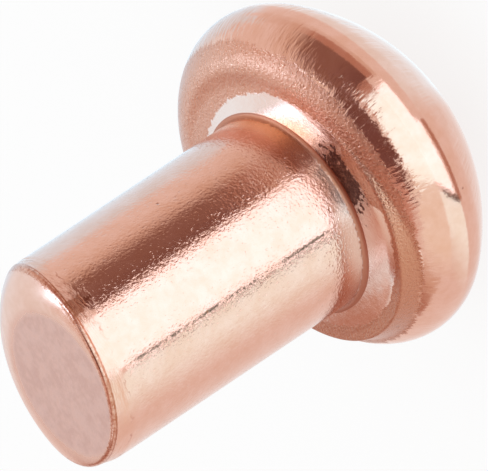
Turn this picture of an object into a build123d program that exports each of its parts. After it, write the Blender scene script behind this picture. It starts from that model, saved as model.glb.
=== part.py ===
from build123d import *
import os
from math import cos, radians, sin, sqrt, tan

# Round head solid rivet, headed cold from one length of soft copper wire.
# It stands on the crown of its head with the shank up, as it does in a rivet set.
# The origin is where the shank's axis meets the bearing face, and +Z runs up the shank.
# Millimetres and degrees.

# Shank
shank_dia = 5.0
shank_length = 7.85         # bearing face to the middle of the end face
root_radius = 0.12          # where the shank runs into the bearing face

# Shank end: the wire was cropped a little out of square, which left its flat face off the middle
crop_direction = 42.0       # about Z from +X, the way the end leans
end_lean = 6.0
end_face_inset = 0.7        # mean width of the roll-over round the flat face
end_face_shift = 0.55       # the face lies off the shank's axis, away from the lean
end_round = 1.48            # roll-over from the face to the side of the wire
end_round_turn = 80.0       # the roll-over turns this far before it would run straight
rim_softness = 0.14         # the roll-over's outer edge, before the band is pressed
band_height = 0.47          # pressed band round the end, from its foot to the plane of the end face
band_taper = 3.0            # how much steeper the band draws in than the end leans

# Head: upset from the same wire, a little off the shank's axis and leaning
head_dia = 8.75
head_lean = 2.1             # towards -X
head_shift_x = 0.18
head_shift_y = -0.23
head_height = 4.19          # bearing face to the top of the crown, before the flat
crown_flat_dia = 1.6        # the bottom of the heading punch leaves the crown slightly flat
rim_height = 1.40           # widest plane of the head, below the bearing face
rim_radius = 1.10           # from the widest plane into the crown
underside_width = 1.65      # free-formed underside, from the widest plane in to where it levels out

# Seat: the ring under the head that the holding die pressed flat
seat_width = 0.8            # mean width of the ring, outside the shank
seat_shift_x = -0.18
seat_shift_y = -0.24
seat_tuck = 0.05            # the seat's flank runs down to this far inside the rim
seat_edge = 0.1

# Head section, in the plane through the head's own axis and to the side of its lean
head_radius = head_dia / 2
head_up = Vector(-sin(radians(head_lean)), 0, cos(radians(head_lean)))
head_across = Vector(cos(radians(head_lean)), 0, sin(radians(head_lean)))
head_centre = Vector(head_shift_x, head_shift_y, 0)
head_section = Plane(origin=head_centre, x_dir=head_up.cross(head_across), z_dir=head_across)

# The crown is part of a ball on the head's axis, tangent to the round of the rim
rim_round_r = head_radius - rim_radius
crown_rise = head_height - rim_height
crown_radius = (rim_round_r**2 + crown_rise**2 - rim_radius**2) / (2 * (crown_rise - rim_radius))
ball_z = crown_radius - head_height
rim_turn = Vector(rim_round_r, -rim_height - ball_z).get_angle(Vector(1, 0))
crown_flat_z = ball_z * head_up.Z - sqrt(crown_radius**2 - (crown_flat_dia / 2) ** 2)

with BuildPart() as head:
    with BuildSketch(head_section):
        with BuildLine():
            underside_centre = (head_radius - underside_width, -rim_height)
            underside = EllipticalCenterArc(underside_centre, underside_width, rim_height, arc_size=90)
            Polyline(underside @ 1, (0, 0), (0, -head_height))
            rim = CenterArc((rim_round_r, -rim_height), rim_radius, 0, -rim_turn)
            RadiusArc((0, -head_height), rim @ 1, -crown_radius)
        make_face()
    revolve(axis=Axis(head_centre, head_up))

shank_radius = shank_dia / 2
rim_plane = Plane(origin=head_centre - head_up * rim_height, x_dir=head_across, z_dir=head_up)
with BuildPart() as seat:
    with BuildSketch(rim_plane):
        Circle(head_radius - seat_tuck)
    with BuildSketch(Plane.XY):
        with Locations((seat_shift_x, seat_shift_y)):
            Circle(shank_radius + seat_width)
    loft(ruled=True)
    fillet(seat.faces().sort_by(Axis.Z)[-1].edges(), seat_edge)

# The end face lies in a leaning plane. The roll-over and the band are square to that plane, and their
# sections are drawn to the side of the lean, which keeps the seams off the narrowest parts of the edges.
lean_dir = Vector(cos(radians(crop_direction)), sin(radians(crop_direction)), 0)
end_up = lean_dir * sin(radians(end_lean)) + Vector(0, 0, 1) * cos(radians(end_lean))
end_across = lean_dir * cos(radians(end_lean)) - Vector(0, 0, 1) * sin(radians(end_lean))
end_side = end_across.cross(end_up)
past_wire = shank_radius    # how far the cutting shapes stand clear of the wire

face_centre = Vector(0, 0, shank_length) - lean_dir * end_face_shift
end_face_radius = shank_radius - end_face_inset
with BuildPart() as roll_over_cutter:
    with BuildSketch(Plane(origin=face_centre, x_dir=end_side, z_dir=-end_across)):
        with BuildLine():
            Line((0, 0), (end_face_radius, 0))
            roll = CenterArc((end_face_radius, -end_round), end_round, 90, -end_round_turn)
            side = Line(roll @ 1, roll @ 1 + roll % 1 * past_wire)
            wall = end_face_radius + end_round + past_wire
            Polyline(side @ 1, (wall, (side @ 1).Y), (wall, past_wire), (0, past_wire), (0, 0))
        make_face()
    revolve(axis=Axis(face_centre, end_up))

# Cut square to the lean the wire is an ellipse, so the band's cone runs on below its foot, clear of the wire
band_foot = Vector(0, 0, shank_length - end_face_shift * tan(radians(end_lean)) - band_height)
band_slope = tan(radians(end_lean + band_taper))
ellipse_reach = shank_radius / cos(radians(end_lean)) - shank_radius
band_run_out = 1.5 * ellipse_reach / (band_slope - sin(radians(end_lean)))
band_cut_top = 2 * band_height
with BuildPart() as band_cutter:
    with BuildSketch(Plane(origin=band_foot, x_dir=end_side, z_dir=-end_across)):
        with BuildLine():
            Polyline(
                (shank_radius + band_run_out * band_slope, -band_run_out),
                (shank_radius - band_cut_top * band_slope, band_cut_top),
                (shank_radius + past_wire, band_cut_top),
                (shank_radius + past_wire, -band_run_out),
                close=True,
            )
        make_face()
    revolve(axis=Axis(band_foot, end_up))

with BuildPart() as shank:
    with BuildSketch(Plane.XY.offset(-rim_height)):
        Circle(shank_radius)
    extrude(amount=rim_height + shank_length + past_wire / 2)
    add(roll_over_cutter.part, mode=Mode.SUBTRACT)
    roll_over = shank.faces().sort_by_distance(face_centre)[1]
    fillet(roll_over.edges().filter_by(GeomType.BSPLINE), rim_softness)
    add(band_cutter.part, mode=Mode.SUBTRACT)

with BuildPart() as rivet:
    add(head.part)
    add(seat.part)
    split(bisect_by=Plane.XY, keep=Keep.BOTTOM)
    split(bisect_by=Plane.XY.offset(crown_flat_z), keep=Keep.TOP)
    add(shank.part)
    root = rivet.edges().filter_by(GeomType.CIRCLE).filter_by_position(Axis.Z, -0.01, 0.01)
    fillet(root.sort_by(SortBy.RADIUS)[0], root_radius)

rivet.part.label = "rivet"
os.makedirs("parts", exist_ok=True)
export_step(rivet.part, "parts/rivet.step")
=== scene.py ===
from math import asin, atan2, cos, degrees, pi, radians, sin, sqrt, tan

import bmesh
import bpy
from mathutils import Matrix, Vector, noise


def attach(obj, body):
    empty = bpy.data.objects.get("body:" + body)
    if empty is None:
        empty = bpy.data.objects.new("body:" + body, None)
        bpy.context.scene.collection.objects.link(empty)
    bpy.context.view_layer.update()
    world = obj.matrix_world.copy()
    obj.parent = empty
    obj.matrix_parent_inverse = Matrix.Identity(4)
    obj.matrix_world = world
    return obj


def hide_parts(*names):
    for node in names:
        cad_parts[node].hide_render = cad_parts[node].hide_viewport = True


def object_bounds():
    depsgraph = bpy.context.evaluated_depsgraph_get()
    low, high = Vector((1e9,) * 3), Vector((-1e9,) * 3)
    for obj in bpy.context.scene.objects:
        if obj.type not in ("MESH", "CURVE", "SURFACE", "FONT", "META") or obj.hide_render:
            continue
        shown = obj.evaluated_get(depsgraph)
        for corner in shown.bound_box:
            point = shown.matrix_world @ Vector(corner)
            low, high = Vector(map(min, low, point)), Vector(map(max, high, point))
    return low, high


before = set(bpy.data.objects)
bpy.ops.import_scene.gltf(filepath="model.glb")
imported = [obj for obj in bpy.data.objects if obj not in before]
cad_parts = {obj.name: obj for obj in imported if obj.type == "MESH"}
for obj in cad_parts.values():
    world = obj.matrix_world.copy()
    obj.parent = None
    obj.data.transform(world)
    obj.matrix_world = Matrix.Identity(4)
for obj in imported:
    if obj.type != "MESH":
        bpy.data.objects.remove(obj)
cad_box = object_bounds()
scene = bpy.context.scene
scene.view_settings.view_transform = "Standard"
MM = 0.001


# ---- Head of the rivet ----
# The rivet is one piece of copper wire. Its head is upset from the end of the wire in one blow, so it sits a
# little off the shank and leans. The crown is part of a ball with a small flat, and a thick round rim turns
# into the underside.

# The skin grows ring by ring from the crown to the free end. Each of its points keeps how far down the skin
# it lies, from 0 in the middle of the crown to 1 at the widest line of the rim, and on from there.
AT_RIM = 1

STEPS_ROUND = 320
CROWN_FLAT_Z = cad_box[0].z / MM
HEAD_RADIUS = min(cad_box[1].x - cad_box[0].x, cad_box[1].y - cad_box[0].y) / 2 / MM
HEAD_CENTRE = Vector((0.18, -0.23, 0))
HEAD_LEAN = radians(2.1)
HEAD_TURN = Matrix.Rotation(-HEAD_LEAN, 3, "Y")
HEAD_HEIGHT = 4.19
RIM_HEIGHT = 1.40
RIM_RADIUS = 1.10
FIRST_RING_TURN = 0.02
CROWN_RINGS = 51
RIM_RINGS = 14

rim_centre = HEAD_RADIUS - RIM_RADIUS
crown_rise = HEAD_HEIGHT - RIM_HEIGHT
crown_radius = (rim_centre**2 + crown_rise**2 - RIM_RADIUS**2) / (2 * (crown_rise - RIM_RADIUS))
crown_turn = asin(rim_centre / (crown_radius - RIM_RADIUS))
first_radius = crown_radius * sin(FIRST_RING_TURN)

rivet_skin = bmesh.new()
turn_of = rivet_skin.verts.layers.float.new("turn")
along_of = rivet_skin.verts.layers.float.new("along")
bmesh.ops.create_circle(rivet_skin, segments=STEPS_ROUND, radius=first_radius, cap_ends=True)
for vert in rivet_skin.verts:
    vert[turn_of] = atan2(vert.co.y, vert.co.x)
    vert.co = HEAD_CENTRE + vert.co + Vector((0, 0, CROWN_FLAT_Z))
open_edges = list(rivet_skin.edges)


def steps(first, last, count):
    """Even steps from the first value to the last, without the first."""
    return [first + (last - first) * (k + 1) / count for k in range(count)]


def lay_ring(place_at, along):
    """Grows the skin by one ring, at the points that place_at(turn) gives, this far along the skin."""
    grown = bmesh.ops.extrude_edge_only(rivet_skin, edges=open_edges)["geom"]
    edges = [part for part in grown if isinstance(part, bmesh.types.BMEdge)]
    open_edges[:] = [edge for edge in edges if len(edge.link_faces) == 1]
    for vert in grown:
        if isinstance(vert, bmesh.types.BMVert):
            vert.co = place_at(vert[turn_of])
            vert[along_of] = along


def on_head(x, y, z):
    """A point given in the head's own leaning frame."""
    return HEAD_CENTRE + HEAD_TURN @ Vector((x, y, z))


def head_ring(radius, z):
    def place_at(turn):
        point = on_head(radius * cos(turn), radius * sin(turn), z)
        point.z = max(point.z, CROWN_FLAT_Z)
        return point
    return place_at


for angle in steps(FIRST_RING_TURN, crown_turn, CROWN_RINGS):
    ball_z = crown_radius * (1 - cos(angle)) - HEAD_HEIGHT
    lay_ring(head_ring(crown_radius * sin(angle), ball_z), angle / crown_turn)
for angle in steps(crown_turn - pi / 2, 0, RIM_RINGS):
    lay_ring(head_ring(rim_centre + RIM_RADIUS * cos(angle), RIM_RADIUS * sin(angle) - RIM_HEIGHT), AT_RIM)


# ---- Underside of the head and its seat ----
# The underside forms freely under the blow, which leaves it rounded and grainy. The die that holds the wire
# presses a flat ring round the shank, off the middle of the head, and a small fillet joins it to the shank.

# How far down the skin the seat's outer edge and the root of the shank lie.
AT_SEAT = 2
AT_SHANK = 3

UNDERSIDE_WIDTH = 1.65
SHANK_RADIUS = 2.5
SEAT_CENTRE = Vector((-0.18, -0.24, 0))
SEAT_RADIUS = 3.3
SEAT_TUCK = 0.05
SEAT_EDGE = 0.12
SEAT_BLEND = 0.05
SEAT_OVERLAP = 0.1
SEAT_FALL = tan(radians(7.5))
SEAT_FALL_WIDTH = 0.6
SEAT_FALL_END = 4.0
ROOT_RADIUS = 0.12
ROOT_SHARE = 0.02
UNDERSIDE_RINGS = 56
SEAT_EDGE_RINGS = 5
SEAT_RINGS = 18
ROOT_RINGS = 8


def fade(value, start, end):
    """0 before start, 1 after end, and a smooth run between."""
    part = min(max((value - start) / (end - start), 0), 1)
    return part * part * (3 - 2 * part)


def soft_max(a, b, blend):
    return (a + b + sqrt((a - b) ** 2 + blend**2)) / 2


def soft_min(a, b, blend):
    return -soft_max(-a, -b, blend)


def underside_ring(out):
    """A ring from the seat's edge (0) to the rim (1), on the flank or the underside, whichever is higher."""
    centre = SEAT_CENTRE.lerp(HEAD_CENTRE, min(max(out, 0), 1)) - HEAD_CENTRE
    radius = min(SEAT_RADIUS + (HEAD_RADIUS - SEAT_TUCK - SEAT_RADIUS) * out, HEAD_RADIUS)
    blend = SEAT_BLEND * max(1 - out, 0)

    def place_at(turn):
        x, y = centre.x + radius * cos(turn), centre.y + radius * sin(turn)
        bearing = -x * tan(HEAD_LEAN)
        flank = bearing + (-RIM_HEIGHT - bearing) * out
        reach = max((sqrt(x * x + y * y) - HEAD_RADIUS) / UNDERSIDE_WIDTH + 1, 0)
        formed = RIM_HEIGHT * (sqrt(max(1 - reach**2, 0)) - 1)
        return on_head(x, y, soft_min(bearing, soft_max(flank, formed, blend), blend))
    return place_at


def seat_fall(reach):
    """How far the seat falls away outwards, and the underside with it as far as the rim."""
    fallen = min(max(reach - SHANK_RADIUS - ROOT_RADIUS, 0), SEAT_FALL_WIDTH)
    return SEAT_FALL * fallen * (1 - fade(reach, SEAT_RADIUS, SEAT_FALL_END))


def flat_ring(centre, radius, z):
    return lambda turn: Vector((centre.x + radius * cos(turn), centre.y + radius * sin(turn), z))


flank_width = HEAD_RADIUS - SEAT_RADIUS - SEAT_TUCK
full_reach = (HEAD_RADIUS - SEAT_RADIUS) / flank_width
for angle in steps(pi / 2, 0, UNDERSIDE_RINGS):
    lay_ring(underside_ring(full_reach * sin(angle)), AT_SEAT - sin(angle))
for out in steps(0, -SEAT_OVERLAP, SEAT_EDGE_RINGS):
    lay_ring(underside_ring(out), AT_SEAT)

SHANK_AXIS = Vector((0, 0, 0))
seat_inner = SHANK_RADIUS + ROOT_RADIUS
seat_outer = SEAT_RADIUS - SEAT_EDGE
for part in steps(0, 1, SEAT_RINGS):
    radius = seat_outer + (seat_inner - seat_outer) * part
    lay_ring(flat_ring(SEAT_CENTRE.lerp(SHANK_AXIS, part), radius, 0), AT_SEAT + part)
for vert in rivet_skin.verts:
    if vert[along_of] > AT_RIM:
        vert.co.z -= seat_fall(vert.co.xy.length)
for part in steps(0, 1, ROOT_RINGS):
    across, rise = ROOT_RADIUS * sin(part * pi / 2), ROOT_RADIUS * (1 - cos(part * pi / 2))
    lay_ring(flat_ring(SHANK_AXIS, seat_inner - across, rise), AT_SHANK + ROOT_SHARE * part)


# ---- Shank and its cropped end ----
# The shank is the wire itself, drawn and tumbled smooth. The cropping knife left its end leaning, with a
# flat face off the middle, a roll-over round it, and a narrow band that the knife pressed into the side.

# How far down the skin the foot of the band and the cropped edge lie.
AT_BAND = 4
AT_FACE = 5

SHANK_LENGTH = 7.85
CROP_DIRECTION = radians(42)
END_LEAN = radians(6)
FACE_RADIUS = SHANK_RADIUS - 0.7
FACE_SHIFT = 0.55
END_ROUND = 1.48
BAND_HEIGHT = 0.47
BAND_SLOPE = tan(END_LEAN + radians(3))
BAND_BLEND = 0.02
BAND_START = -0.3
EDGE_SOFTNESS = 0.08
EDGE_TRIES = 12
FACE_STOP = 0.985
SHANK_RINGS = 48
BAND_RINGS = 22
EDGE_RINGS = 8
FACE_RINGS = 34

lean_to = Vector((cos(CROP_DIRECTION), sin(CROP_DIRECTION), 0))
end_up = lean_to * sin(END_LEAN) + Vector((0, 0, cos(END_LEAN)))
end_across = lean_to * cos(END_LEAN) - Vector((0, 0, sin(END_LEAN)))
end_side = end_across.cross(end_up)
face_centre = Vector((0, 0, SHANK_LENGTH)) - lean_to * FACE_SHIFT
band_foot = Vector((0, 0, SHANK_LENGTH - FACE_SHIFT * tan(END_LEAN) - BAND_HEIGHT))
face_height = (face_centre - band_foot).dot(end_up)


def side_point(turn, height):
    """The wire's side or its pressed band, at a height over the band's foot, square to the leaning end."""
    out = end_across * cos(turn - CROP_DIRECTION) - end_side * sin(turn - CROP_DIRECTION)
    centre = band_foot + end_up * height
    a, b = out.xy.length_squared, centre.xy.dot(out.xy)
    wire = (sqrt(b * b - a * (centre.xy.length_squared - SHANK_RADIUS**2)) - b) / a
    return centre + out * soft_min(wire, SHANK_RADIUS - height * BAND_SLOPE, BAND_BLEND)


def roll_drop(reach):
    past = min(max(reach - FACE_RADIUS, 0), END_ROUND)
    return sqrt(END_ROUND**2 - past**2) - END_ROUND


def face_offset(point):
    away = point - face_centre
    return away - end_up * away.dot(end_up)


def face_point(offset):
    """A point of the flat face or its roll-over, from its offset in the plane of the face."""
    return face_centre + offset + end_up * roll_drop(offset.length)


edge_heights = {}


def edge_at(turn):
    """Height of the edge where the roll-over meets the side."""
    if turn not in edge_heights:
        height = face_height
        for _ in range(EDGE_TRIES):
            height = face_height + roll_drop(face_offset(side_point(turn, height)).length)
        edge_heights[turn] = height
    return edge_heights[turn]


def band_low(turn):
    """Height at which the round of the shank gives way to the pressed band."""
    return min(BAND_START, edge_at(turn) + BAND_START)


def shank_ring(part):
    def place_at(turn):
        top = side_point(turn, band_low(turn))
        height = ROOT_RADIUS + (top.z - ROOT_RADIUS) * part
        return Vector((SHANK_RADIUS * cos(turn), SHANK_RADIUS * sin(turn), height))
    return place_at


def band_ring(part):
    def place_at(turn):
        low, top = band_low(turn), edge_at(turn) - EDGE_SOFTNESS
        return side_point(turn, low + (top - low) * part)
    return place_at


def inner_offset(turn):
    """Offset of the point just inside the edge, where the roll-over starts."""
    offset = face_offset(side_point(turn, edge_at(turn)))
    return offset * (1 - EDGE_SOFTNESS / offset.length)


def edge_ring(part):
    def place_at(turn):
        height = edge_at(turn)
        below, corner = side_point(turn, height - EDGE_SOFTNESS), side_point(turn, height)
        return below.lerp(corner, part).lerp(corner.lerp(face_point(inner_offset(turn)), part), part)
    return place_at


def face_ring(part):
    return lambda turn: face_point(inner_offset(turn) * (1 - part))


for part in steps(0, 1, SHANK_RINGS):
    lay_ring(shank_ring(part), AT_SHANK + ROOT_SHARE + (1 - ROOT_SHARE) * part)
for part in steps(0, 1, BAND_RINGS):
    lay_ring(band_ring(part), AT_BAND + part)
for part in steps(0, 1, EDGE_RINGS):
    lay_ring(edge_ring(part), AT_FACE)
for part in steps(0, FACE_STOP, FACE_RINGS):
    lay_ring(face_ring(part), AT_FACE + part)
bmesh.ops.contextual_create(rivet_skin, geom=open_edges)
bmesh.ops.recalc_face_normals(rivet_skin, faces=rivet_skin.faces)
rivet_skin.normal_update()


# ---- Unevenness of the skin ----
# Cold heading and tumbling leave no face perfectly true: the burnished faces undulate a little, the freely
# formed underside is like orange peel, and the knife tore small folds into the pressed band.

# How closely the hollows lie, and their depth in mm.
UNDULATION = (0.9, 0.0025)
FINE_UNDULATION = (2.6, 0.0012)
PEEL = (3.2, 0.006)
FOLDS = (Vector((1.4, 1.4, 9.0)), 0.016)

for vert in rivet_skin.verts:
    along = vert[along_of]
    peeled = fade(along, AT_RIM + 0.22, AT_RIM + 0.32) * (1 - fade(along, AT_SEAT - 0.1, AT_SEAT - 0.01))
    folded = fade(along, AT_BAND + 0.3, AT_BAND + 0.7) * (1 - fade(along, AT_FACE - 0.08, AT_FACE))
    sunk = 0
    for (closeness, depth), share in (
        (UNDULATION, 1), (FINE_UNDULATION, 1), (PEEL, peeled), (FOLDS, folded),
    ):
        sunk += share * depth * (1 + noise.noise(vert.co * closeness)) / 2
    vert.co -= vert.normal * sunk
    vert.co.z = max(vert.co.z, CROWN_FLAT_Z)
bmesh.ops.scale(rivet_skin, vec=(MM, MM, MM), verts=rivet_skin.verts)
rivet_skin.verts.layers.float.remove(turn_of)

rivet_mesh = bpy.data.meshes.new("headed_rivet")
rivet_skin.to_mesh(rivet_mesh)
rivet_skin.free()
rivet_mesh.shade_smooth()
rivet = bpy.data.objects.new("headed_rivet", rivet_mesh)
scene.collection.objects.link(rivet)
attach(rivet, "root")
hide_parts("rivet")


# ---- Bright copper finish ----
# Bare copper, tumbled bright, with fine draw lines up the shank. The blow left streaks down the rim and a
# dull grain under the head, whose deeper orange is painted bounce light and whose -X side is painted shade.
# The seat ring is rubbed and painted paler as sheen, with one dark patch of painted reflection by the shank.
# Thin red-brown lines of painted shade mark the root crease, the knife's fold and the cropped edge, a thin
# dark line up the shank is a painted reflection of the dark seam paper, the root has painted sheen and
# painted orange bounce light, and the cropped face is matte and pinker.

class Amount:
    """A value in a finish that can be added, multiplied and so on."""

    def __init__(self, finish, socket):
        self.finish, self.socket = finish, socket

    def math(self, operation, *values):
        return self.finish.add("Math", {"operation": operation}, dict(enumerate(values)))

    def __add__(self, other):
        return self.math("ADD", self, other)

    def __sub__(self, other):
        return self.math("SUBTRACT", self, other)

    def __rsub__(self, other):
        return self.math("SUBTRACT", other, self)

    def __mul__(self, other):
        return self.math("MULTIPLY", self, other)

    __radd__ = __add__
    __rmul__ = __mul__

    def rise(self, start, end):
        """0 before start, 1 after end, and a smooth run between."""
        sockets = {"Value": self, "From Min": start, "From Max": end}
        return self.finish.add("MapRange", {"interpolation_type": "SMOOTHSTEP"}, sockets)

    def between(self, start, end, soft):
        return self.rise(start - soft, start + soft) * (1 - self.rise(end - soft, end + soft))


class Finish:
    """A material. add() makes any node: its type, its settings, then the values or links of its sockets."""

    def __init__(self, name):
        self.material = bpy.data.materials.new(name)
        self.material.use_nodes = True
        self.nodes, self.links = self.material.node_tree.nodes, self.material.node_tree.links
        self.nodes.clear()

    def add(self, kind, settings=None, sockets=None, out=0):
        node = self.nodes.new("ShaderNode" + kind)
        for name, setting in (settings or {}).items():
            setattr(node, name, setting)
        for name, value in (sockets or {}).items():
            if isinstance(value, Amount):
                self.links.new(value.socket, node.inputs[name])
            else:
                node.inputs[name].default_value = value
        return Amount(self, node.outputs[out]) if node.outputs else None

    def vectors(self, operation, first, second=(0, 0, 0), out="Vector"):
        return self.add("VectorMath", {"operation": operation}, {0: first, 1: second}, out)

    def blend(self, share, first, second):
        """A colour between two colours."""
        return self.add("Mix", {"data_type": "RGBA"}, {0: share, 6: first, 7: second}, out=2)

    def stretch(self, vector, scale, shift=(0, 0, 0)):
        """A Mapping node: scales a pattern, then shifts it."""
        return self.add("Mapping", sockets={"Vector": vector, "Scale": scale, "Location": shift})

    def grain(self, vector, size, detail=2.0, distortion=0.0):
        """Noise of about this grain size, between -0.5 and 0.5."""
        sockets = {"Vector": vector, "Scale": 1 / size, "Detail": detail, "Distortion": distortion}
        return self.add("TexNoise", sockets=sockets) - 0.5

    def finished(self, surface):
        self.add("OutputMaterial", sockets={"Surface": surface})
        return self.material


copper = Finish("bright_copper")
metres = copper.add("TexCoord", out="Object")
place = copper.stretch(metres, (1 / MM, 1 / MM, 1 / MM))
across_x = copper.add("SeparateXYZ", sockets={"Vector": place}, out="X")
height_up = copper.add("SeparateXYZ", sockets={"Vector": place}, out="Z")
along = copper.add("Attribute", {"attribute_name": "along"}, out="Fac")
coarse = copper.grain(place, 0.5)
medium = copper.grain(place, 0.16)
fine = copper.grain(place, 0.07)


def reach_from(x, y):
    """Distance from a line parallel to the shank."""
    return copper.vectors("LENGTH", copper.stretch(place, (1, 1, 0), (-x, -y, 0)), out="Value")


def distance_from(spot):
    return copper.vectors("DISTANCE", place, spot, out="Value")


# The streaks of the blow run down the rim: their pattern is long that way and fine across it.
STREAK_WIDTH = 0.028
STREAK_STRETCH = 0.055
GRAIN_CENTRE = (0.25, 0)
head_place = copper.stretch(place, (1, 1, 1), -HEAD_CENTRE)
around_head = copper.vectors("NORMALIZE", copper.stretch(head_place, (1, 1, 0)))
head_reach = reach_from(*GRAIN_CENTRE)
down_rim = copper.add("CombineXYZ", sockets={"Z": (height_up - head_reach) * STREAK_STRETCH})
streaks = copper.grain(copper.vectors("ADD", around_head, down_rim), STREAK_WIDTH, 3)

# The grain of the underside ends raggedly on the rim, and the pressed ring's outer border has a notch.
GRAIN_RADIUS = 4.02
RING_CENTRE = (-0.1, -0.45)
RING_RADIUS = 3.0
grain_reach = head_reach + streaks * 0.30 + medium * 0.12
ring_notch = across_x.between(-1.0, 0.5, 0.2) * 0.35
ring_reach = reach_from(*RING_CENTRE) + ring_notch + medium * 0.2 + fine * 0.15
on_ring = 1 - ring_reach.rise(RING_RADIUS, RING_RADIUS + 0.05)
under_head = along.rise(AT_RIM, AT_RIM + 0.04) * (1 - along.rise(AT_SHANK - 0.01, AT_SHANK))
peel_zone = (1 - grain_reach.rise(GRAIN_RADIUS, GRAIN_RADIUS + 0.06)) * under_head * (1 - on_ring)
on_seat = along.rise(AT_SEAT - 0.1, AT_SEAT - 0.05) * (1 - along.rise(AT_SHANK, AT_SHANK + 0.01))
ring_zone = on_ring * on_seat
head_skin = (1 - along.rise(AT_SEAT - 0.02, AT_SEAT)) * (1 - peel_zone)
torn_rim = grain_reach.between(4.10, 4.42, 0.06) * head_skin

# The dark patch on the ring next to the shank is a painted reflection over scratched metal, and most of the
# rest of the ring is rubbed and painted paler as sheen. The root keeps a fine red-brown line of painted
# shade in its crease, and a rougher haze, painted paler on one side as sheen and orange on the other as
# bounce light.
dark_patch_reach = reach_from(0, 0) + medium * 0.5 + fine * 0.3
dark_patch_across = across_x + medium * 2.2 + fine * 0.8
scuff_and_reflection_zone = ring_zone * dark_patch_across.between(-0.75, 0.70, 0.10) * dark_patch_reach.between(2.57, 3.14, 0.05)
rubbed_and_sheen_zone = ring_zone * (across_x + medium * 0.6).rise(-2.9, -2.3) * (1 - scuff_and_reflection_zone)
crease_zone = (along + fine * 0.015).between(AT_SHANK - 0.004, AT_SHANK + 0.018, 0.003)
root_haze = (1 - along.rise(AT_SHANK + 0.03, AT_SHANK + 0.12)) * along.rise(AT_SHANK, AT_SHANK + 0.01)
root_bounce_glow = root_haze * across_x.rise(0.6, 1.6)

# A thin broken dark line is painted up the shank where it mirrors the dark seam paper: a painted reflection.
SEAM_MIRROR_COMPASS = radians(-20)
seam_mirror_reach = reach_from(SHANK_RADIUS * sin(SEAM_MIRROR_COMPASS), -SHANK_RADIUS * cos(SEAM_MIRROR_COMPASS)) + fine * 0.10
seam_mirror_run = along.between(AT_SHANK + 0.12, AT_BAND - 0.03, 0.02) * (coarse + fine).rise(-0.20, 0.10)
seam_mirror_line = (1 - seam_mirror_reach.rise(0.015, 0.06)) * seam_mirror_run
shank_zone = along.between(AT_SHANK + 0.02, AT_BAND + 0.2, 0.02)

# The cropped end: its pressed band with one fold and a stain, its edge, its roll-over and its flat face.
STAIN_SPOT = (0.95, -2.25, 7.50)
band_zone = along.between(AT_BAND + 0.4, AT_FACE - 0.03, 0.1)
fold_reach = along + medium * 0.45 + fine * 0.1
fold_zone = fold_reach.between(AT_BAND + 0.34, AT_BAND + 0.42, 0.04) * coarse.rise(-0.05, 0.15)
stain_zone = 1 - (distance_from(STAIN_SPOT) + medium * 0.7 + fine * 0.3).rise(0.15, 0.35)
edge_zone = (along + fine * 0.05).between(AT_FACE - 0.08, AT_FACE, 0.015)
roll_zone = along.rise(AT_FACE, AT_FACE + 0.005)
face_reach = distance_from(face_centre) + fine * 0.12 + medium * 0.12
on_face = 1 - face_reach.rise(FACE_RADIUS - 0.10, FACE_RADIUS + 0.08)
face_zone = on_face * along.rise(AT_FACE, AT_FACE + 0.02)

# Heights of the small marks, in micrometres.
draw_lines = copper.grain(copper.stretch(place, (1, 1, 0.10)), 0.05, 3)
dents = copper.grain(place, 0.10, 2, 0.6)
specks = copper.grain(copper.stretch(place, (1, 1, 0.6), (5, 2, 7)), 0.06, 2).rise(0.08, 0.28)
ring_lines = copper.grain(copper.stretch(place, (1, 1, 1), (1, 8, 3)), 0.06, 4, 1.5)
peel = copper.grain(place, 0.065, 2, 0.6)
torn = copper.grain(copper.stretch(place, (0.5, 0.5, 3.0)), 0.14, 3, 0.4)
matte = copper.grain(place, 0.05, 3)
marks = (
    medium * 1.6 + coarse * 3.2
    + shank_zone * (draw_lines * 1.6 + dents * 4.0 + fine * 7.0 - specks * 3.5)
    + head_skin * (streaks * 2.6 + dents * 1.5)
    + torn_rim * (across_x.rise(-2.4, -0.9) * 0.8 + 0.2) * streaks * 22
    + peel_zone * peel * 22
    + ring_zone * (ring_lines * 3.0 + dents * 2.0) + scuff_and_reflection_zone * ring_lines * 8.0
    + band_zone * torn * 14 - fold_zone * 4.0
    + face_zone * (matte * 3.0 + medium * 5.0)
)

# Nicks: where each lies, and how wide it is.
NICK_DEPTH = 12
NICKS = (
    ((-3.6, -0.65, -0.35), 0.09), ((-1.75, -4.1, -1.75), 0.06), ((1.55, -2.75, 0.0), 0.07),
    ((0.4, -3.8, -0.2), 0.05), ((1.85, -1.7, 3.85), 0.06), ((-2.2, -0.75, 8.0), 0.07),
    ((-0.45, -2.45, 0.55), 0.06), ((-0.85, -2.35, 4.75), 0.06),
)
nicks = None
for spot, radius in NICKS:
    nick = 1 - (distance_from(spot) + fine * 0.05).rise(0, radius)
    nicks = nick if nicks is None else nicks + nick
height = marks - nicks * NICK_DEPTH
relief = copper.add("Bump", sockets={"Strength": 1.0, "Distance": MM * MM, "Height": height}, out="Normal")

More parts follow.
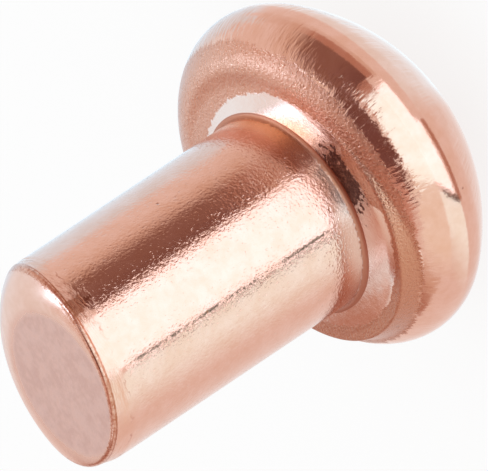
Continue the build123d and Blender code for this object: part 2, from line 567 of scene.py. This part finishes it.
BRIGHT = (0.755, 0.425, 0.328, 1)
WARM = (0.715, 0.375, 0.270, 1)
GRAIN_AND_BOUNCE_LIGHT = (0.620, 0.275, 0.180, 1)
OXIDE_AND_SHADE = (0.470, 0.170, 0.095, 1)
PINK = (0.690, 0.430, 0.362, 1)
FACE_DARK = (0.600, 0.330, 0.262, 1)
RUBBED_AND_SHEEN = (0.820, 0.620, 0.550, 1)
PAINTED_DARK_REFLECTION = (0.140, 0.058, 0.046, 1)
PAINTED_BOUNCE_GLOW = (0.850, 0.370, 0.185, 1)
CREASE_AND_EDGE_SHADE = (0.430, 0.135, 0.070, 1)
BROWN = (0.300, 0.085, 0.035, 1)
PAINTED_SEAM_REFLECTION = (0.130, 0.080, 0.050, 1)
colour = copper.blend((coarse * 1.6 + medium * 0.8 + 0.5).rise(0, 1), WARM, BRIGHT)
for share, tone in (
    # Painted bounce light: the grain gets a deeper orange than the copper, standing in for light mirrored
    # between its hollows.
    (peel_zone * 0.9, GRAIN_AND_BOUNCE_LIGHT),
    # Painted shade: the grain's -X side is darkened.
    (peel_zone * (1 - across_x.rise(-2.6, -0.2)) * 0.7, OXIDE_AND_SHADE),
    (peel_zone * peel.rise(0.02, 0.25) * 0.6, OXIDE_AND_SHADE),
    (face_zone * (0.8 + medium * 0.6), PINK),
    (face_zone * (coarse * 2.0 + medium * 1.6).rise(-0.4, 0.5) * 0.6, FACE_DARK),
    # Painted sheen: most of the ring is painted paler than the copper, over real rubbing.
    (rubbed_and_sheen_zone * 0.9, RUBBED_AND_SHEEN),
    # Painted reflection: a dark patch on the ring by the shank, standing in for the dark surroundings
    # mirrored there.
    (scuff_and_reflection_zone * (0.95 + fine), PAINTED_DARK_REFLECTION),
    # Painted sheen: the root's -X side is painted paler than the copper, standing in for the light it
    # mirrors.
    (root_haze * (1 - across_x.rise(-0.8, 0.1)) * 0.9, RUBBED_AND_SHEEN),
    # Painted bounce light: an orange glow on the root's +X side, standing in for light mirrored between seat
    # and shank.
    (root_bounce_glow * 0.9, PAINTED_BOUNCE_GLOW),
    # Painted shade: a thin red-brown line in the root's crease.
    (crease_zone * 0.9, CREASE_AND_EDGE_SHADE),
    # Painted reflection: a thin dark line up the shank, where it mirrors the dark seam paper.
    (seam_mirror_line * 0.9, PAINTED_SEAM_REFLECTION),
    # Painted shade: a dark red-brown line along the cropped edge.
    (edge_zone * (0.90 + medium * 1.5), CREASE_AND_EDGE_SHADE),
    (stain_zone * 0.75, BROWN),
    # Painted shade in the knife's fold.
    (fold_zone * 0.6, CREASE_AND_EDGE_SHADE),
    (nicks * 0.6, BROWN),
):
    colour = copper.blend(share, colour, tone)
roughness = (
    0.13 + coarse * 0.03 + fine * 0.05
    + peel_zone * 0.15 + ring_zone * 0.01 + band_zone * 0.06 + roll_zone * 0.10
    + face_zone * 0.18 + crease_zone * 0.20 + edge_zone * 0.20 + root_haze * 0.12
)
bare_copper = {"Base Color": colour, "Metallic": 1.0, "Roughness": roughness, "Normal": relief}
rivet_mesh.materials.append(copper.finished(copper.add("BsdfPrincipled", sockets=bare_copper)))


# ---- Camera ----
# It looks down on the front of the rivet from half a metre, with a long lens, and is rolled so that the
# shank runs from the lower left to the upper right.

CAMERA_DISTANCE = 500
CAMERA_LEFT = 1.02
CAMERA_DOWN = 0.515
camera_right = Vector((-0.5544, -0.4400, -0.7064))
camera_up = Vector((0.8323, -0.2931, -0.4706))
camera_back = camera_right.cross(camera_up)
camera_place = camera_back * CAMERA_DISTANCE - camera_right * CAMERA_LEFT - camera_up * CAMERA_DOWN
camera_data = bpy.data.cameras.new("camera")
camera_data.sensor_width = 36
camera_data.lens = 1601
camera_data.clip_start = 0.1
camera_data.clip_end = 5
camera = bpy.data.objects.new("camera", camera_data)
scene.collection.objects.link(camera)
camera_turn = Matrix((camera_right, camera_up, camera_back)).transposed().to_4x4()
camera.matrix_world = Matrix.Translation(camera_place * MM) @ camera_turn
scene.camera = camera


# ---- Floor ----
# A plain pale sheet. Its paleness is mostly its own, so it stays nearly white, and the rest of it is plain
# paint that takes the rivet's shadow.

FLOOR_HALF = 1.0
FLOOR_PAINT = (0.90, 0.90, 0.90, 1)
FLOOR_GLOW = (1, 1, 1, 1)
SHADOW_SHARE = 0.2

floor_paint = Finish("floor_paint")
seen = floor_paint.add("LightPath", out="Is Camera Ray")
mirrored = floor_paint.add("LightPath", out="Is Glossy Ray")
through = floor_paint.add("LightPath", out="Is Transmission Ray")
paint = floor_paint.add("BsdfPrincipled", sockets={"Base Color": FLOOR_PAINT, "Roughness": 1.0})
glow = floor_paint.add("Emission", sockets={"Color": FLOOR_GLOW, "Strength": 1.0})
glow_share = seen * (1 - SHADOW_SHARE) + mirrored + through
painted = floor_paint.add("MixShader", sockets={0: glow_share, 1: paint, 2: glow})
floor_sheet = bmesh.new()
bmesh.ops.create_grid(floor_sheet, x_segments=1, y_segments=1, size=FLOOR_HALF)
bmesh.ops.translate(floor_sheet, vec=(0, 0, cad_box[0].z), verts=floor_sheet.verts)
floor_mesh = bpy.data.meshes.new("floor")
floor_sheet.to_mesh(floor_mesh)
floor_sheet.free()
floor_mesh.materials.append(floor_paint.finished(painted))
floor = bpy.data.objects.new("floor", floor_mesh)
scene.collection.objects.link(floor)


# ---- Studio light ----
# Plain white light comes from all round. Lit sheets of paper stand and lie round the rivet only to be
# mirrored in the copper: bright ones in front and high at the sides, a dark screen close on the right, and
# dimmer ones over it and behind it.

world = bpy.data.worlds.new("white_tent")
scene.world = world
world.use_nodes = True
world.node_tree.nodes["Background"].inputs["Color"].default_value = (1, 1, 1, 1)

WHITE = (1.0, 1.0, 1.0)
LIT = (1.9, 2.3, 2.7)
GLARE = (1.45, 2.2, 2.5)
SOFT_GLARE = (1.9, 2.9, 3.5)
STRONG = (4.0, 7.0, 10.0)
HALF_LIT = (1.25, 1.75, 1.90)
SOFT = (1.12, 1.27, 1.25)
DARK = (0.32, 0.19, 0.16)
DEEP = (0.22, 0.11, 0.10)
TAN = (0.60, 0.37, 0.30)
OVER_TAN = (0.74, 0.50, 0.43)
PALE_TAN = (0.85, 0.73, 0.65)
SEAM = (0.12, 0.06, 0.04)
LAVENDER = (1.05, 1.30, 1.43)
PALE_LAVENDER = (0.94, 1.06, 1.16)
FACE_LIGHT = (0.92, 0.98, 1.03)
BACK_LIGHT = (0.92, 1.22, 1.42)

# Heights and distances from the shank's axis, in mm.
FLOOR_Z = CROWN_FLAT_Z + 0.02
SCREEN = 8.0
NEAR_WALL = 90
FAR_WALL = 120
CEILING = 160

# The sheets are swept in steps of about one degree.
HALF_STEP = 0.5

paper = Finish("paper_light")
sheet_light = paper.add("Attribute", {"attribute_name": "light"}, out="Color")
paper_finish = paper.finished(paper.add("Emission", sockets={"Color": sheet_light, "Strength": 1.0}))


def paper_sheet(name, profile, stops):
    """A sheet swept round the rivet. profile lists its (radius, height) corners, and stops its colours by
    compass in degrees: 0 is the front, and angles grow towards +X."""
    sheet = bmesh.new()
    light = sheet.verts.layers.float_color.new("light")
    start, end = radians(stops[0][0]), radians(stops[-1][0])
    corners = [sheet.verts.new((radius * sin(start), -radius * cos(start), z)) for radius, z in profile]
    rule = [sheet.edges.new(pair) for pair in zip(corners, corners[1:])]
    count = max(int(degrees(end - start)), 1)
    around = {"cent": (0, 0, 0), "axis": (0, 0, 1), "angle": end - start, "steps": count}
    bmesh.ops.spin(sheet, geom=corners + rule, **around)
    for vert in sheet.verts:
        compass = degrees(atan2(vert.co.x, -vert.co.y))
        compass += 360 if compass < stops[0][0] - HALF_STEP else 0
        for (before, first), (after, second) in zip(stops, stops[1:]):
            if before - HALF_STEP <= compass <= after + HALF_STEP:
                share = min(max((compass - before) / (after - before), 0), 1)
                vert[light] = (*Vector(first).lerp(Vector(second), share), 1)
    bmesh.ops.scale(sheet, vec=(MM, MM, MM), verts=sheet.verts)
    mesh = bpy.data.meshes.new(name)
    sheet.to_mesh(mesh)
    sheet.free()
    mesh.materials.append(paper_finish)
    piece = bpy.data.objects.new(name, mesh)
    scene.collection.objects.link(piece)
    piece.visible_camera = piece.visible_diffuse = piece.visible_shadow = False


# In front: a lit floor and wall, with a tan strip by the head.
paper_sheet("front_floor_left", [(8.0, FLOOR_Z), (NEAR_WALL, FLOOR_Z)], [(-37, LIT), (0, LIT)])
paper_sheet("front_floor_right", [(9.4, FLOOR_Z), (NEAR_WALL, FLOOR_Z)], [(0, LIT), (23, LIT)])
paper_sheet("front_wall_left", [(NEAR_WALL, FLOOR_Z), (NEAR_WALL, 70)], [(-37, GLARE), (0, GLARE)])
paper_sheet("front_wall_right", [(NEAR_WALL, FLOOR_Z), (NEAR_WALL, 56)], [(0, GLARE), (22, GLARE)])
paper_sheet("front_edge", [(6.4, FLOOR_Z), (7.4, FLOOR_Z)], [(-40, TAN), (0, TAN)])

# On the right: the near screen, dark above and paler at its foot, and a tan wall behind it.
paper_sheet("screen_foot", [(SCREEN, -3.2), (SCREEN, -2.5)], [(25, PALE_TAN), (100, WHITE)])
paper_sheet(
    "screen_middle", [(SCREEN, -2.5), (SCREEN, -1.4)],
    [(25, TAN), (54, TAN), (66, PALE_TAN), (90, WHITE)],
)
paper_sheet(
    "screen_top", [(SCREEN, -1.4), (SCREEN, 4.8)],
    [(25, DEEP), (40, DARK), (53, DARK), (65, PALE_TAN), (79, WHITE), (100, WHITE)],
)
paper_sheet(
    "dark_wall", [(NEAR_WALL, FLOOR_Z), (NEAR_WALL, 72)],
    [(24, TAN), (92, TAN), (98, PALE_TAN), (120, PALE_TAN)],
)

# On the left: a dark seam beside the lit floor, then a half-lit floor and a soft wall.
paper_sheet("seam", [(7.0, FLOOR_Z), (21, FLOOR_Z)], [(-41.5, SEAM), (-38.5, SEAM)])
paper_sheet(
    "left_floor", [(7.0, FLOOR_Z), (NEAR_WALL, FLOOR_Z)],
    [(-95, WHITE), (-60, HALF_LIT), (-41.5, HALF_LIT)],
)
paper_sheet(
    "left_wall", [(NEAR_WALL, FLOOR_Z), (NEAR_WALL, 78)],
    [(-100, WHITE), (-80, SOFT), (-38, SOFT)],
)

# On the floor under the head and behind it, and over the shank.
paper_sheet(
    "under", [(1.4, FLOOR_Z), (6.3, FLOOR_Z)],
    [(-180, PALE_LAVENDER), (-60, WHITE), (0, WHITE), (15, LAVENDER), (140, LAVENDER), (180, PALE_LAVENDER)],
)
paper_sheet(
    "back_floor", [(6.4, FLOOR_Z), (NEAR_WALL, FLOOR_Z)],
    [(95, WHITE), (104, BACK_LIGHT), (165, BACK_LIGHT), (180, WHITE)],
)
paper_sheet("over", [(2, CEILING), (165, CEILING)], [(-45, DEEP), (50, DEEP)])
paper_sheet("over_left", [(2, CEILING + 1), (140, CEILING + 1)], [(-160, OVER_TAN), (-45, OVER_TAN)])

# Two narrow lamps high up at the sides, and the walls behind: pale to the right, tan to the left.
paper_sheet("right_lamp", [(FAR_WALL, 99), (FAR_WALL - 1, 128)], [(52, STRONG), (150, STRONG)])
paper_sheet(
    "left_lamp", [(FAR_WALL, 101), (FAR_WALL - 1, 118)],
    [(-140, SOFT_GLARE), (-110, SOFT_GLARE), (-100, SOFT)],
)
paper_sheet("right_wall", [(FAR_WALL, 50), (FAR_WALL, 98)], [(96, SOFT), (104, HALF_LIT), (125, SOFT)])
paper_sheet(
    "back_wall", [(FAR_WALL, 26), (FAR_WALL, 66)],
    [(130, LAVENDER), (168, LAVENDER), (172, FACE_LIGHT), (182, FACE_LIGHT), (187, TAN), (238, TAN),
     (250, PALE_TAN), (260, PALE_TAN)],
)
paper_sheet(
    "back_wall_foot", [(FAR_WALL, FLOOR_Z), (FAR_WALL, 26)],
    [(125, WHITE), (135, LAVENDER), (172, LAVENDER), (180, WHITE)],
)
paper_sheet(
    "back_wall_top", [(FAR_WALL, 66), (FAR_WALL, 92)],
    [(140, LAVENDER), (182, LAVENDER), (187, TAN), (238, TAN), (250, PALE_TAN), (260, PALE_TAN)],
)
